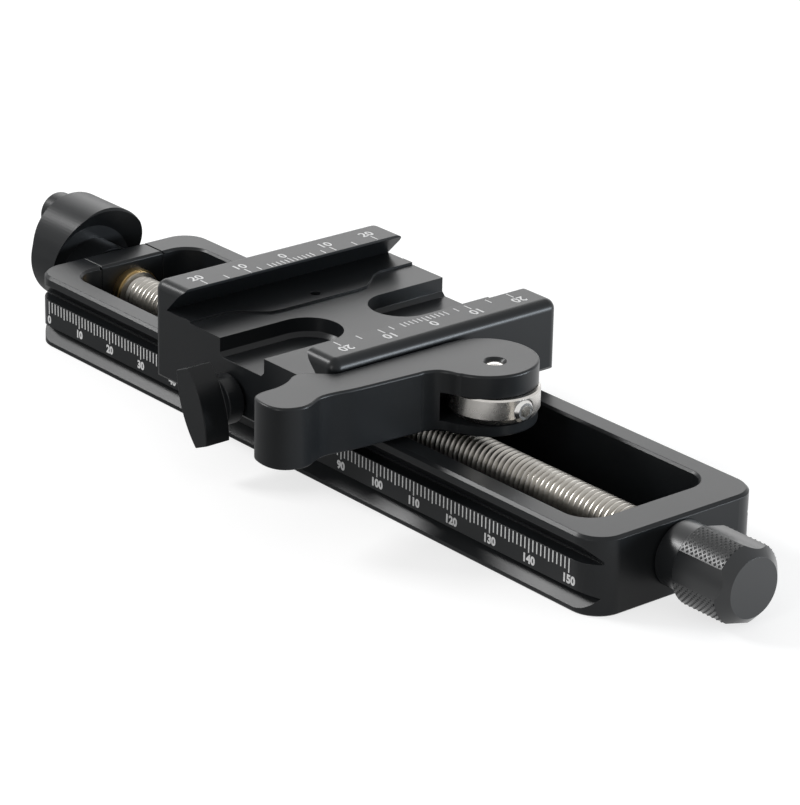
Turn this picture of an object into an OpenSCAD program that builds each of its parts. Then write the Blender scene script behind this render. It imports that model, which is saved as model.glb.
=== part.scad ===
// Macro focusing rail: a slotted rail with a lead screw, and a carriage with a lever clamp.
// X runs along the rail towards the fine knob, -Y is the side with the scale, Z is up.
// The origin is the middle of the rail's underside.

/* [Rail] */
// Length of the rail
rail_len = 161.8; // [140:0.2:240]
// Width of the rail, which is also the width of its dovetail foot
rail_w = 38; // [37:0.5:44]
// Height of the rail
rail_h = 14.3; // [13.8:0.1:18]
// Radius of the rail's upright corners, seen from above
rail_corner_r = 5.5; // [4:0.5:8]
// Chamfer round the rail's top edge
rail_chamfer = 0.55; // [0.2:0.05:1]
// Width of the slot in the rail
slot_w = 28.8; // [24:0.2:29]
// Radius of the slot's corners
slot_corner_r = 5; // [2:0.5:8]
// Chamfer round the slot's top edge
slot_chamfer = 0.45; // [0.1:0.05:0.8]
// Thickness of the floor under the slot
slot_floor = 1.8; // [1.2:0.1:2]
// Thickness of the wall at the fine knob's end
near_wall = 7.8; // [5:0.1:14]
// Thickness of the wall at the crank's end
far_wall = 6.5; // [5:0.5:14]
// Height of the upright lip of the dovetail foot
lip_h = 0.95; // [0.5:0.05:1.5]
// Depth of the groove above the dovetail foot, whose lower flank is at 45 degrees
foot_groove_depth = 2.35; // [1.5:0.05:2.6]
// Rise of that groove's upper flank over its depth
foot_groove_rise = 0.9; // [0.2:0.1:1.5]
// Height of the floor of the carriage's guide groove
guide_z = 9.45; // [8.5:0.05:10]
// Depth of the guide groove, whose upper flank is at 45 degrees
guide_depth = 2.6; // [2:0.1:3]
// Height of the upright root of the guide groove
guide_root = 0.4; // [0.2:0.1:0.8]

/* [Bearings] */
// Width of the bearing block let into the wall at the crank's end
block_w = 14.6; // [13:0.1:18]
// Gap of the seam on each side of the bearing block
block_seam = 0.08; // [0.05:0.01:0.2]
// Width of the small notch at the top of each seam
seam_notch = 0.7; // [0.3:0.1:1.2]
// Outer diameter of the bushes' sleeves
bush_d = 8.4; // [7.6:0.2:10]
// Diameter of the bushes' flanges
bush_flange_d = 10; // [9:0.2:11]
// Thickness of the flange on the rear bush
rear_flange_t = 1.7; // [1:0.1:3]
// Thickness of the flange on the front bush
front_flange_t = 1; // [0.6:0.1:2]
// Thickness of the thrust washers
washer_t = 0.5; // [0.3:0.1:1]
// Diameter of the screws that hold the bearing block
block_screw_d = 2; // [1.6:0.1:2.2]
// Length of the screws that hold the bearing block
block_screw_len = 7; // [5:0.5:10]

/* [Lead screw] */
// Height of the lead screw's axis
screw_z = 7.5; // [7:0.1:8]
// Outer diameter of the lead screw's thread
screw_d = 8; // [7:0.5:8.5]
// Depth of the lead screw's thread
thread_depth = 0.6; // [0.3:0.05:0.7]
// Pitch of the lead screw's thread
thread_pitch = 1.25; // [1:0.05:2.5]
// Diameter of the plain ends that turn in the bushes
journal_d = 6; // [5:0.1:6.4]
// How far the plain end reaches into each knob
journal_grip = 9; // [6:0.5:11]

/* [Fine knob] */
// Diameter of the knob's neck
neck_d = 12; // [11:0.5:14]
// Length of the knob's neck
neck_len = 4.7; // [4.5:0.1:9]
// Diameter of the knob's grip
knob_d = 14.6; // [13:0.2:15]
// Length of the knob's grip
knob_len = 12.6; // [8:0.1:20]
// Length of the chamfer at the knob's free end
knob_end_chamfer = 1.9; // [0.5:0.1:3]
// Length of the chamfer where the grip meets the neck
knob_neck_chamfer = 0.8; // [0.3:0.1:1.4]
// Radius of the smooth scoops in the grip
scoop_r = 10.2; // [8:0.2:16]
// Depth of each scoop below its chord
scoop_depth = 0.35; // [0.1:0.05:0.6]
// Angle that each scoop takes up
scoop_angle = 42; // [20:1:50]
// Angle of the first scoop from +Y
scoop_start = 76; // [0:1:89]
// Diameter of the set screws in the knobs
set_screw_d = 3; // [2:0.5:3]

/* [Crank] */
// Diameter of the crank's hub
hub_d = 14; // [13:0.2:15]
// How far the crank's hub stands out of the crank's face
hub_len = 2.4; // [2:0.1:6]
// Radius of the crank's round ends
crank_r = 9.6; // [9:0.1:10]
// Distance from the screw's axis to the lower round end's centre
crank_low = 2.4; // [2.2:0.1:3]
// Distance between the centres of the two round ends
crank_span = 2.4; // [1:0.1:5]
// Thickness of the crank
crank_t = 13.3; // [11:0.1:14]
// Depth of the round dish round the hub, in the crank's face
dish_depth = 4.8; // [3:0.1:5.5]
// Radius of the dish's floor
dish_r = 9.6; // [9:0.1:11]
// Chamfer round the crank's edges
crank_chamfer = 0.7; // [0.2:0.1:1.2]
// Lean of the crank from upright towards +Y
crank_lean = 12; // [0:1:30]
// Distance from the screw's axis to the peg's axis
peg_arm = 8.6; // [7.5:0.1:9]
// Diameter of the turning peg
peg_d = 8.2; // [6:0.2:9]
// Length of the turning peg
peg_len = 6; // [5:0.5:14]
// Diameter of the axle in the peg
axle_d = 3; // [2:0.2:4]
// Diameter of the axle's head
axle_head_d = 5; // [4.4:0.2:5.4]
// Thickness of the axle's head
axle_head_t = 1.2; // [0.8:0.1:1.6]
// How far the axle reaches into the crank
axle_grip = 5; // [3:0.5:6]

/* [Carriage] */
// Place of the clamp's middle along the rail, at rest
carriage_x = -5.25; // [-20:0.05:15]
// Width of the carriage and both jaws, across the rail
clamp_w = 52.2; // [48:0.2:60]
// Thickness of the carriage over the rail
deck_t = 8.7; // [8.2:0.1:11]
// Distance between the lips of the closed jaws
jaw_gap = 35.8; // [35:0.1:42]
// Height of the jaws above the seat of the plate
jaw_h = 5.45; // [5:0.05:7]
// Width of the fixed jaw from its lip to its back
fixed_jaw_w = 8.65; // [7.5:0.05:11]
// Width of the moving jaw from its lip to its back
moving_jaw_w = 7.95; // [7.5:0.05:11]
// Height of the blunt edge of each lip
lip_edge = 0.5; // [0.3:0.05:1]
// How far the moving lip stands over the end of the carriage
lip_overhang = 1.05; // [0.5:0.05:1.5]
// Radius of the jaws' upright corners, and of the rounding along their backs and ends
jaw_round_r = 2; // [1:0.1:3]
// Chamfer along the carriage's lower edges
skirt_chamfer = 0.8; // [0.3:0.1:1.5]
// Radius of the round pockets in the seat
pocket_r = 6.4; // [5:0.2:6.6]
// Distance from the middle to the centre of each pocket's round end
pocket_y = 11; // [9:0.5:14]
// Depth of the pockets
pocket_depth = 3.5; // [2.5:0.1:3.8]
// Size of the fillet, cut as a chamfer, round the pockets' floors
pocket_chamfer = 0.8; // [0.2:0.1:1.5]
// Height of the ledge beside the fixed jaw, on which a plate rests
ledge_h = 0.45; // [0.15:0.05:0.8]
// Depth of the relief under the fixed lip, so that a plate's edge clears the root of the undercut
lip_relief = 0.1; // [0.05:0.05:0.15]
// Width of the ledge at its middle, from the fixed lip
ledge_w = 7.6; // [5:0.2:8]
// Width of the ledge at its ends, from the fixed lip
ledge_end_w = 2.6; // [1:0.2:4]
// Half of the length over which the ledge is wide
ledge_half = 10; // [6:0.5:14]
// Length of the curve between the wide and the narrow ledge
ledge_blend = 8; // [4:0.5:10]
// Diameter of the small hole in the ledge
pin_hole_d = 2; // [1:0.2:3]
// Depth of the small hole in the ledge
pin_hole_depth = 3; // [1:0.5:4]

/* [Drive nut] */
// Length of the drive nut along the rail
nut_len = 18; // [12:0.5:26]
// Width of the drive nut, which passes through the bearing block's gap
nut_w = 14.4; // [14:0.1:14.5]
// Diameter of the drive nut's screws
nut_screw_d = 2; // [1.6:0.1:2.2]
// Diameter of their heads
nut_screw_head_d = 3.1; // [2.8:0.1:3.3]
// Height of their heads
nut_screw_head_t = 1.4; // [1:0.1:1.7]
// How far they reach into the carriage
nut_screw_grip = 3; // [2:0.5:4]
// Distance from the nut's ends to its screws
nut_screw_edge = 2.5; // [2:0.1:4]
// How far the nut's screws lie inside the middle of its side walls
nut_screw_shift = 0.2; // [0.1:0.05:0.25]

/* [Lever clamp] */
// Height of the lever
lever_h = 11.3; // [10.5:0.1:11.4]
// How far the lever's top lies below the jaws' tops
lever_drop = 1.95; // [1.5:0.05:2]
// Thickness of the lever's lower ear
lower_ear_t = 1.9; // [1.5:0.1:2]
// Height of the slot between the lever's ears
ear_gap = 5.3; // [5.1:0.1:5.6]
// Radius of the lever's round head, the cam
head_r = 9.4; // [9:0.1:10]
// Distance from the lever's pin to the centre of its head
cam_offset = 2.4; // [2.2:0.1:3]
// Gap between the cam and the closed jaw
cam_gap = 0.65; // [0.6:0.05:1.2]
// Length of the lever from its pin to its tip
lever_len = 44.4; // [40:0.2:60]
// Diameter of the lever's pin
lever_pin_d = 3; // [2:0.2:3.6]
// Depth of the countersink over the lever's pin
pin_sink = 0.6; // [0.3:0.1:1]
// Radius of the barrel between the ears
barrel_r = 8.2; // [7.5:0.1:8.6]
// Chamfer round the barrel's lower edge
barrel_chamfer = 1.4; // [0.6:0.1:1.8]
// Chamfer round the barrel's upper edge
barrel_top_chamfer = 0.3; // [0.1:0.05:0.6]
// Diameter of the draw rod and the barrel's set screw
rod_d = 4.4; // [3.6:0.1:4.5]
// How far the barrel's set screw stands out of the barrel
rod_screw_proud = 0.25; // [0.1:0.05:0.5]
// How far the draw rod reaches into the carriage
rod_grip = 14; // [8:1:20]
// Height of the moving jaw's lower edge over the rail
jaw_clear = 0.9; // [0.5:0.1:1]
// Distance between the jaw's two guide pins
guide_pin_gap = 30; // [24:0.5:36]
// Depth of the guide pins' axes below the seat
guide_pin_drop = 4.9; // [4.6:0.1:5]
// Diameter of the guide pins
guide_pin_d = 3; // [2:0.2:3.2]
// How far the guide pins reach into the carriage
guide_pin_grip = 9; // [8:0.2:9.6]
// Depth of the springs' pockets in the carriage
spring_len = 4.4; // [4:0.2:6]
// Diameter of the springs' wire
wire_d = 0.5; // [0.3:0.05:0.6]
// Number of turns in each spring
spring_turns = 4; // [2:1:5]

/* [Lock] */
// Place of the lock knob from the clamp's middle, along the rail
lock_offset = -2.8; // [-10:0.05:5]
// Depth of the lock knob's axis below the rail's top
lock_drop = 1.2; // [0.8:0.1:1.4]
// Diameter of the lock's stud
stud_d = 4; // [3:0.2:4.4]
// Diameter of the lock knob's boss
boss_d = 9.2; // [7:0.2:12]
// Length of the lock knob's boss
boss_len = 3.2; // [2.4:0.2:8]
// Height of the lock knob's wing
wing_h = 14.4; // [11:0.2:18]
// Thickness of the wing at its middle
wing_t = 6.2; // [5:0.1:9]
// Thickness of the wing at its ends
wing_end_t = 3.5; // [2:0.1:4.5]
// Length of the wing along the stud
wing_len = 5.2; // [4:0.2:9]
// Lean of the wing from upright
wing_lean = 23; // [0:1:60]
// Thickness of the lock's brass pad
pad_t = 1.6; // [1:0.1:2.4]
// Gap between the open lock's pad and the rail
pad_gap = 0.45; // [0.4:0.05:0.7]
// Gap between the open lock's boss and the carriage
boss_gap = 0.7; // [0.65:0.05:1]

/* [Hidden] */
$fn = 96;

// Clearances: sliding faces, running bores, seated bores, thrust faces, and the cuts' overrun
slide_gap = 0.3;
run_gap = 0.04;
seat_gap = 0.02;
thrust_gap = 0.06;
overrun = 1;

// The rail
rail_x0 = -rail_len / 2;
rail_x1 = rail_len / 2;
side_y = rail_w / 2;
slot_x0 = rail_x0 + far_wall;
slot_x1 = rail_x1 - near_wall;
foot_root_z = lip_h + foot_groove_depth;
band_z = foot_root_z + foot_groove_rise;
guide_top_z = guide_z + guide_root + guide_depth;

// The lead screw
screw_r = screw_d / 2;
journal_r = journal_d / 2;
block_screw_y = (bush_d + block_w) / 4;
thread_x0 = slot_x0 + rear_flange_t + thrust_gap + washer_t;
thread_x1 = slot_x1 - front_flange_t - thrust_gap - washer_t;
washer_r = screw_r + thread_depth;
knob_x0 = rail_x1 + slide_gap;
grip_x0 = knob_x0 + neck_len;
hub_x1 = rail_x0 - slide_gap;
crank_x1 = hub_x1 - hub_len;
crank_x0 = crank_x1 - crank_t;
dish_x = crank_x1 - dish_depth;
hub_screw_x = (dish_x + hub_x1) / 2;
peg_x1 = crank_x0 - slide_gap;
set_screw_r = set_screw_d / 2;
thread_count = floor((thread_x1 - thread_x0) / thread_pitch - 1);
first_crest_x = (thread_x0 + thread_x1 - (thread_count - 1) * thread_pitch) / 2;

// The carriage
deck_z = rail_h + slide_gap;
seat_z = deck_z + deck_t;
jaw_top_z = seat_z + jaw_h;
skirt_z = guide_z + slide_gap;
fixed_lip_x = carriage_x - jaw_gap / 2;
moving_lip_x = carriage_x + jaw_gap / 2;
carriage_x0 = fixed_lip_x - fixed_jaw_w;
carriage_x1 = moving_lip_x - lip_overhang;
clamp_y = clamp_w / 2;
inner_y = side_y + slide_gap;
rib_y = side_y - guide_depth + slide_gap;
undercut = jaw_h - lip_edge - ledge_h;
ledge_z = seat_z + ledge_h;
ledge_x0 = fixed_lip_x + run_gap;

// The drive nut, which hangs from the deck into the slot
nut_x0 = carriage_x - nut_len / 2;
nut_z0 = slot_floor + 2 * slide_gap;
nut_screw_y = (nut_w / 2 + screw_r) / 2 - nut_screw_shift;

// The moving jaw, the lever and the barrel
jaw_x0 = carriage_x1 + slide_gap;
jaw_x1 = moving_lip_x + moving_jaw_w;
jaw_z0 = rail_h + jaw_clear;
pin_x = jaw_x1 + cam_gap + head_r + cam_offset;
lever_z1 = jaw_top_z - lever_drop;
lever_z0 = lever_z1 - lever_h;
ear_z0 = lever_z0 + lower_ear_t;
ear_z1 = ear_z0 + ear_gap;
rod_z = ear_z0 + ear_gap / 2;
barrel_h = ear_gap - 4 * thrust_gap;
ear_slot_r = head_r + cam_offset + 2 * slide_gap;
arm_slot_r = barrel_r + barrel_h / 2;
rod_r = rod_d / 2;
lever_pin_r = lever_pin_d / 2;
guide_pin_z = seat_z - guide_pin_drop;
guide_pin_r = guide_pin_d / 2;
coil_r = guide_pin_r + wire_d / 2 + 2 * run_gap;
spring_bore_r = coil_r + wire_d / 2 + 2 * run_gap;

// The lever's outline, anticlockwise from the root of the arm's inner side.
// Shares of the head's radius across the arm, measured from the pin.
lever_x_shares = [
    -1.254, -1.26, -1.265, -1.275, -1.28, -1.30, -1.53, -1.69, -1.67, -1.52, -1.42, -1.40,
    -1.31, -1.12, -0.84, -0.60, -0.44, -0.36, -0.40, -0.53, -0.56, -0.53, -0.47, -0.41, -0.37,
    -0.367, -0.28, -0.106, 0.128
];
// Shares of the lever's length, from the pin towards the tip
lever_y_shares = [
    0.0, 0.10, 0.27, 0.42, 0.51, 0.58, 0.64, 0.69, 0.735, 0.785, 0.85, 0.93,
    0.975, 0.995, 1.00, 0.985, 0.95, 0.895, 0.85, 0.79, 0.745, 0.69, 0.61, 0.44, 0.32,
    0.293, 0.2455, 0.2185, 0.196
];
// Three points inside the head that close the outline, as shares of the head's radius
root_shares = [[0, -0.7], [-0.8, 0.69], [-1.085, 0.468]];
curve_steps = 4;

// The lock
lock_x = carriage_x + lock_offset;
lock_z = rail_h - lock_drop;
stud_r = stud_d / 2;
pad_y = -side_y - pad_gap;
boss_y = -clamp_y - boss_gap;
wing_bulge = (wing_t - wing_end_t) / 2;
wing_r = (pow(wing_h / 2, 2) + pow(wing_bulge, 2)) / (2 * wing_bulge);

// Shares: a socket's radius of its screw's, how deep a set screw sits in its hole, the crest of the
// thread of its pitch, and the flare of the crank's dish over its depth
socket_share = 0.55;
sunk_share = 0.3;
crest_share = 0.2;
dish_flare_share = 0.94;
// Steps of the ledge's curve, and of each spring's turn and wire
ledge_steps = 24;
spring_steps = 12;
spring_sides = 6;

black = [0.09, 0.09, 0.10];
steel = [0.78, 0.77, 0.75];
brass = [0.80, 0.62, 0.30];

// A round bar along X, Y or Z
module bar_x(x0, x1, r) {
    translate([x0, 0, 0]) rotate([0, 90, 0]) cylinder(h = x1 - x0, r = r);
}

module bar_y(y0, y1, r) {
    translate([0, y1, 0]) rotate([90, 0, 0]) cylinder(h = y1 - y0, r = r);
}

module bar_z(z0, z1, r) {
    translate([0, 0, z0]) cylinder(h = z1 - z0, r = r);
}

// A section in Y and Z carried along X, and one in X and Z carried along Y
module along_x(x0, x1, section) {
    translate([x0, 0, 0]) rotate([90, 0, 90]) linear_extrude(x1 - x0) polygon(section);
}

module along_y(y0, y1, section) {
    translate([0, y1, 0]) rotate([90, 0, 0]) linear_extrude(y1 - y0) polygon(section);
}

// A shape turned about the screw's axis, from radii over places along X
module turned_x(profile) {
    rotate([0, 90, 0]) rotate_extrude() polygon([for (p = profile) [p[1], p[0]]]);
}

// The section of a chamfered edge: half width w, from 0 to h, with a top and a lower chamfer
function plate_section(w, h, top, low) = [
    [-w + low, 0], [w - low, 0], [w, low], [w, h - top],
    [w - top, h], [-w + top, h], [-w, h - top], [-w, low]
];

// A plate with round upright corners and chamfered edges
module round_plate(lx, ly, h, r, top, low) {
    cx = lx / 2 - r;
    cy = ly / 2 - r;
    along_x(-cx, cx, plate_section(ly / 2, h, top, low));
    along_y(-cy, cy, plate_section(lx / 2, h, top, low));
    for (sx = [-1, 1], sy = [-1, 1])
        translate([sx * cx, sy * cy, 0])
            rotate_extrude() polygon([[0, 0], [r - low, 0], [r, low], [r, h - top], [r - top, h], [0, h]]);
}

// A round-cornered cut that flares by a chamfer at height h and runs on past it
function flare_section(w, h, c) = [
    [-w, 0], [w, 0], [w, h - c], [w + c, h], [w + c, h + overrun],
    [-w - c, h + overrun], [-w - c, h], [-w, h - c]
];

module flared_cut(lx, ly, h, r, c) {
    cx = lx / 2 - r;
    cy = ly / 2 - r;
    along_x(-cx, cx, flare_section(ly / 2, h, c));
    along_y(-cy, cy, flare_section(lx / 2, h, c));
    for (sx = [-1, 1], sy = [-1, 1])
        translate([sx * cx, sy * cy, 0])
            rotate_extrude() polygon([
                [0, 0], [r, 0], [r, h - c], [r + c, h], [r + c, h + overrun], [0, h + overrun]
            ]);
}

// A point on the smooth closed curve through a list of points, with u from 0 to the list's length
function wrap(list, i) = list[(i + len(list)) % len(list)];
function curve_point(list, i, t) =
    let (a = wrap(list, i - 1), b = wrap(list, i), c = wrap(list, i + 1), d = wrap(list, i + 2))
    b + t * (c - a) / 2 + t * t * (a - 2.5 * b + 2 * c - d / 2) + t * t * t * (1.5 * (b - c) + (d - a) / 2);

// The sides of the rail: the foot's groove and the carriage's guide groove
module side_grooves() {
    for (s = [-1, 1]) {
        along_x(rail_x0 - overrun, rail_x1 + overrun, [
            [s * (side_y + overrun), lip_h - overrun], [s * (side_y - foot_groove_depth), foot_root_z],
            [s * side_y, band_z], [s * (side_y + overrun), band_z]
        ]);
        along_x(rail_x0 - overrun, rail_x1 + overrun, [
            [s * (side_y + overrun), guide_z], [s * (side_y - guide_depth), guide_z],
            [s * (side_y - guide_depth), guide_z + guide_root], [s * side_y, guide_top_z],
            [s * (side_y + overrun), guide_top_z + overrun]
        ]);
    }
}

// The gap in the far wall that the bearing block fills, with a notch at the top of each seam
module block_gap() {
    translate([rail_x0 - overrun, -block_w / 2 - block_seam, slot_floor])
        cube([far_wall + 2 * overrun, block_w + 2 * block_seam, rail_h]);
    for (s = [-1, 1])
        translate([slot_x0, s * (block_w / 2 + block_seam), rail_h])
            rotate([0, 0, 45]) cube([seam_notch, seam_notch, 2 * seam_notch], center = true);
}

// Heads and shanks of the block's two screws, drilled from below
module block_screw_shape(extra) {
    for (s = [-1, 1]) translate([(rail_x0 + slot_x0) / 2, s * block_screw_y, 0]) {
        bar_z(0, block_screw_len, block_screw_d / 2 + extra);
        cylinder(h = slot_floor / 2 + extra, r1 = block_screw_d, r2 = block_screw_d / 2 + extra);
    }
}

module rail_frame() {
    color(black) difference() {
        round_plate(rail_len, rail_w, rail_h, rail_corner_r, rail_chamfer, rail_chamfer / 2);
        side_grooves();
        translate([(slot_x0 + slot_x1) / 2, 0, slot_floor])
            flared_cut(slot_x1 - slot_x0, slot_w, rail_h - slot_floor, slot_corner_r, slot_chamfer);
        block_gap();
        block_screw_shape(seat_gap);
        translate([0, 0, screw_z]) bar_x(slot_x1 - overrun, rail_x1 + overrun, bush_d / 2 + seat_gap);
    }
}

module bearing_block() {
    color(black) difference() {
        along_x(rail_x0, slot_x0, [
            [-block_w / 2, slot_floor], [block_w / 2, slot_floor], [block_w / 2, rail_h - rail_chamfer / 2],
            [block_w / 2 - rail_chamfer / 2, rail_h], [-block_w / 2 + rail_chamfer / 2, rail_h],
            [-block_w / 2, rail_h - rail_chamfer / 2]
        ]);
        translate([0, 0, screw_z]) bar_x(rail_x0 - overrun, slot_x0 + overrun, bush_d / 2 + seat_gap);
        block_screw_shape(seat_gap);
        translate([rail_x0, 0, rail_h]) rotate([0, 45, 0])
            cube([rail_chamfer, block_w + overrun, rail_chamfer] * sqrt(2), center = true);
        translate([slot_x0, 0, rail_h]) rotate([0, 45, 0])
            cube([slot_chamfer, block_w + overrun, slot_chamfer] * sqrt(2), center = true);
    }
}

module bearing_block_screws() {
    color(steel) block_screw_shape(0);
}

module rear_bush() {
    color(brass) translate([0, 0, screw_z]) difference() {
        union() {
            bar_x(rail_x0, slot_x0, bush_d / 2);
            bar_x(slot_x0, slot_x0 + rear_flange_t, bush_flange_d / 2);
        }
        bar_x(rail_x0 - overrun, slot_x0 + rear_flange_t + overrun, journal_r + run_gap);
    }
}

module front_bush() {
    color(brass) translate([0, 0, screw_z]) difference() {
        union() {
            bar_x(slot_x1, rail_x1, bush_d / 2);
            bar_x(slot_x1 - front_flange_t, slot_x1, bush_flange_d / 2);
        }
        bar_x(slot_x1 - front_flange_t - overrun, rail_x1 + overrun, journal_r + run_gap);
    }
}

// The thread is a row of rings, each with a flat crest and two slanted flanks
function thread_profile() = [
    for (i = [0 : thread_count - 1]) let (x = first_crest_x + i * thread_pitch) each [
        [x - thread_pitch / 2, screw_r - thread_depth], [x - crest_share * thread_pitch / 2, screw_r],
        [x + crest_share * thread_pitch / 2, screw_r]
    ]
];

module lead_screw() {
    color(steel) translate([0, 0, screw_z]) turned_x(concat(
        [[hub_x1 - journal_grip, 0], [hub_x1 - journal_grip, journal_r], [thread_x0, journal_r]],
        [[thread_x0, screw_r - thread_depth]],
        thread_profile(),
        [[thread_x1, screw_r - thread_depth], [thread_x1, journal_r]],
        [[knob_x0 + journal_grip, journal_r], [knob_x0 + journal_grip, 0]]
    ));
}

module thrust_washers() {
    color(steel) translate([0, 0, screw_z]) for (x = [thread_x0 - washer_t, thread_x1]) difference() {
        bar_x(x, x + washer_t, washer_r);
        bar_x(x - overrun, x + washer_t + overrun, journal_r + seat_gap);
    }
}

module fine_knob() {
    knob_r = knob_d / 2;
    knob_x1 = grip_x0 + knob_len;
    scoop_y = knob_r * cos(scoop_angle / 2) - scoop_depth + scoop_r;
    color(black) translate([0, 0, screw_z]) difference() {
        turned_x([
            [knob_x0, 0], [knob_x0, neck_d / 2], [grip_x0, neck_d / 2],
            [grip_x0, knob_r - knob_neck_chamfer], [grip_x0 + knob_neck_chamfer, knob_r],
            [knob_x1 - knob_end_chamfer, knob_r], [knob_x1, knob_r - knob_end_chamfer], [knob_x1, 0]
        ]);
        for (k = [0 : 3])
            rotate([scoop_start + 90 * k, 0, 0]) translate([0, scoop_y, 0])
                bar_x(grip_x0 - overrun, knob_x1 + overrun, scoop_r);
        bar_x(knob_x0 - overrun, knob_x0 + journal_grip + seat_gap, journal_r + seat_gap);
        translate([knob_x0 + neck_len / 2, 0, 0]) bar_z(-neck_d, 0, set_screw_r + seat_gap);
    }
}

// A set screw that points up at the screw's axis from just inside radius r, with a hexagon socket
module set_screw(x, r) {
    end_z = -r + set_screw_r * sunk_share;
    translate([x, 0, screw_z]) difference() {
        bar_z(end_z, -journal_r - seat_gap, set_screw_r);
        translate([0, 0, end_z - overrun])
            cylinder(h = set_screw_r + overrun, r = set_screw_r * socket_share, $fn = 6);
    }
}

module fine_knob_set_screw() {
    color(steel) set_screw(knob_x0 + neck_len / 2, neck_d / 2);
}

// The crank's round-ended body, upright from 0 to its thickness
module crank_slab() {
    profile = [
        [0, 0], [crank_r - crank_chamfer, 0], [crank_r, crank_chamfer],
        [crank_r, crank_t - crank_chamfer], [crank_r - crank_chamfer, crank_t], [0, crank_t]
    ];
    for (y = [crank_low, crank_low + crank_span]) translate([0, y, 0]) rotate_extrude() polygon(profile);
    along_y(crank_low, crank_low + crank_span, plate_section(crank_r, crank_t, crank_chamfer, crank_chamfer));
}

module crank_body() {
    color(black) translate([0, 0, screw_z]) rotate([-crank_lean, 0, 0]) difference() {
        union() {
            difference() {
                translate([crank_x0, 0, 0]) rotate([90, 0, 90]) crank_slab();
                turned_x([
                    [dish_x, 0], [dish_x, dish_r],
                    [crank_x1 + overrun, dish_r + (dish_depth + overrun) * dish_flare_share],
                    [crank_x1 + overrun, 0]
                ]);
            }
            bar_x(dish_x - overrun, hub_x1, hub_d / 2);
        }
        bar_x(hub_x1 - journal_grip - seat_gap, hub_x1 + overrun, journal_r + seat_gap);
        translate([0, 0, peg_arm])
            bar_x(crank_x0 - overrun, crank_x0 + axle_grip + seat_gap, axle_d / 2 + seat_gap);
        translate([hub_screw_x, 0, 0]) bar_z(-hub_d, 0, set_screw_r + seat_gap);
    }
}

module crank_set_screw() {
    color(steel) translate([0, 0, screw_z]) rotate([-crank_lean, 0, 0]) translate([0, 0, -screw_z])
        set_screw(hub_screw_x, hub_d / 2);
}

// Places what is drawn about X on the peg's axis
module at_peg() {
    translate([0, 0, screw_z]) rotate([-crank_lean, 0, 0]) translate([0, 0, peg_arm]) children();
}

module peg_axle() {
    color(steel) at_peg() difference() {
        union() {
            bar_x(peg_x1 - peg_len, crank_x0 + axle_grip, axle_d / 2);
            bar_x(peg_x1 - peg_len, peg_x1 - peg_len + axle_head_t, axle_head_d / 2);
        }
        translate([peg_x1 - peg_len, 0, 0])
            cube([axle_head_t, axle_head_d + overrun, axle_head_t / 2], center = true);
    }
}

module crank_peg() {
    peg_x0 = peg_x1 - peg_len;
    peg_r = peg_d / 2;
    color(black) at_peg() difference() {
        turned_x([
            [peg_x0, 0], [peg_x0, peg_r - crank_chamfer], [peg_x0 + crank_chamfer, peg_r],
            [peg_x1 - crank_chamfer / 2, peg_r], [peg_x1, peg_r - crank_chamfer / 2], [peg_x1, 0]
        ]);
        bar_x(peg_x0 - overrun, peg_x1 + overrun, axle_d / 2 + run_gap);
        bar_x(peg_x0 - overrun, peg_x0 + axle_head_t + slide_gap, axle_head_d / 2 + run_gap);
    }
}

// The carriage in side view: the fixed jaw, its 45 degree undercut with the relief, and the ledge
function carriage_profile() = [
    [carriage_x0 - overrun, skirt_z], [carriage_x0 - overrun, jaw_top_z + overrun],
    [fixed_lip_x, jaw_top_z + overrun], [fixed_lip_x, jaw_top_z - lip_edge],
    [fixed_lip_x - undercut - lip_relief, ledge_z - lip_relief], [ledge_x0, ledge_z - lip_relief],
    [ledge_x0, ledge_z], [carriage_x1, ledge_z], [carriage_x1, skirt_z]
];

// Across the rail: the ends' lower edges are chamfered
function across_profile(z0, low) = [
    for (s = [-1, 1]) each [
        for (p = [
            [clamp_y + overrun, jaw_top_z + overrun], [clamp_y + overrun, z0 + low + overrun],
            [clamp_y - low, z0]
        ]) [s * p[0], p[1]]
    ]
];
function across_outline(z0, low) = let (p = across_profile(z0, low)) [p[0], p[1], p[2], p[5], p[4], p[3]];

// A jaw's body up to its top, rounded along its back at x1, along both ends and at the two corners
module rounded_jaw(x0, x1, z0) {
    r = jaw_round_r;
    corner_y = clamp_y - r;
    translate([0, 0, z0]) linear_extrude(jaw_top_z - r - z0) union() {
        for (s = [-1, 1]) translate([x1 - r, s * corner_y]) circle(r = r);
        translate([x0, -clamp_y]) square([x1 - r - x0, clamp_w]);
        translate([x1 - r, -corner_y]) square([r, 2 * corner_y]);
    }
    translate([x0, -corner_y, z0]) cube([x1 - r - x0, 2 * corner_y, jaw_top_z - z0]);
    translate([x1 - r, 0, jaw_top_z - r]) bar_y(-corner_y, corner_y, r);
    for (s = [-1, 1]) translate([0, s * corner_y, jaw_top_z - r]) {
        bar_x(x0, x1 - r, r);
        translate([x1 - r, 0, 0]) sphere(r = r);
    }
}

// The room for the rail under the deck, with the ribs that run in the guide grooves
function rail_room() = [
    for (s = [-1, 1]) each [
        for (p = [
            [rib_y, skirt_z - overrun], [rib_y, guide_top_z - sqrt(2) * slide_gap - (side_y - rib_y)],
            [inner_y, guide_top_z - sqrt(2) * slide_gap + slide_gap], [inner_y, deck_z]
        ]) [s * p[0], p[1]]
    ]
];
function room_outline() = let (p = rail_room()) [p[0], p[1], p[2], p[3], p[7], p[6], p[5], p[4]];

// The ledge's edge: far out at the middle, drawn in along a smooth curve towards the ends
function ledge_x(y) =
    let (t = min(1, max(0, (abs(y) - ledge_half) / ledge_blend)), s = t * t * (3 - 2 * t))
    fixed_lip_x + ledge_w - (ledge_w - ledge_end_w) * s;

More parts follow.
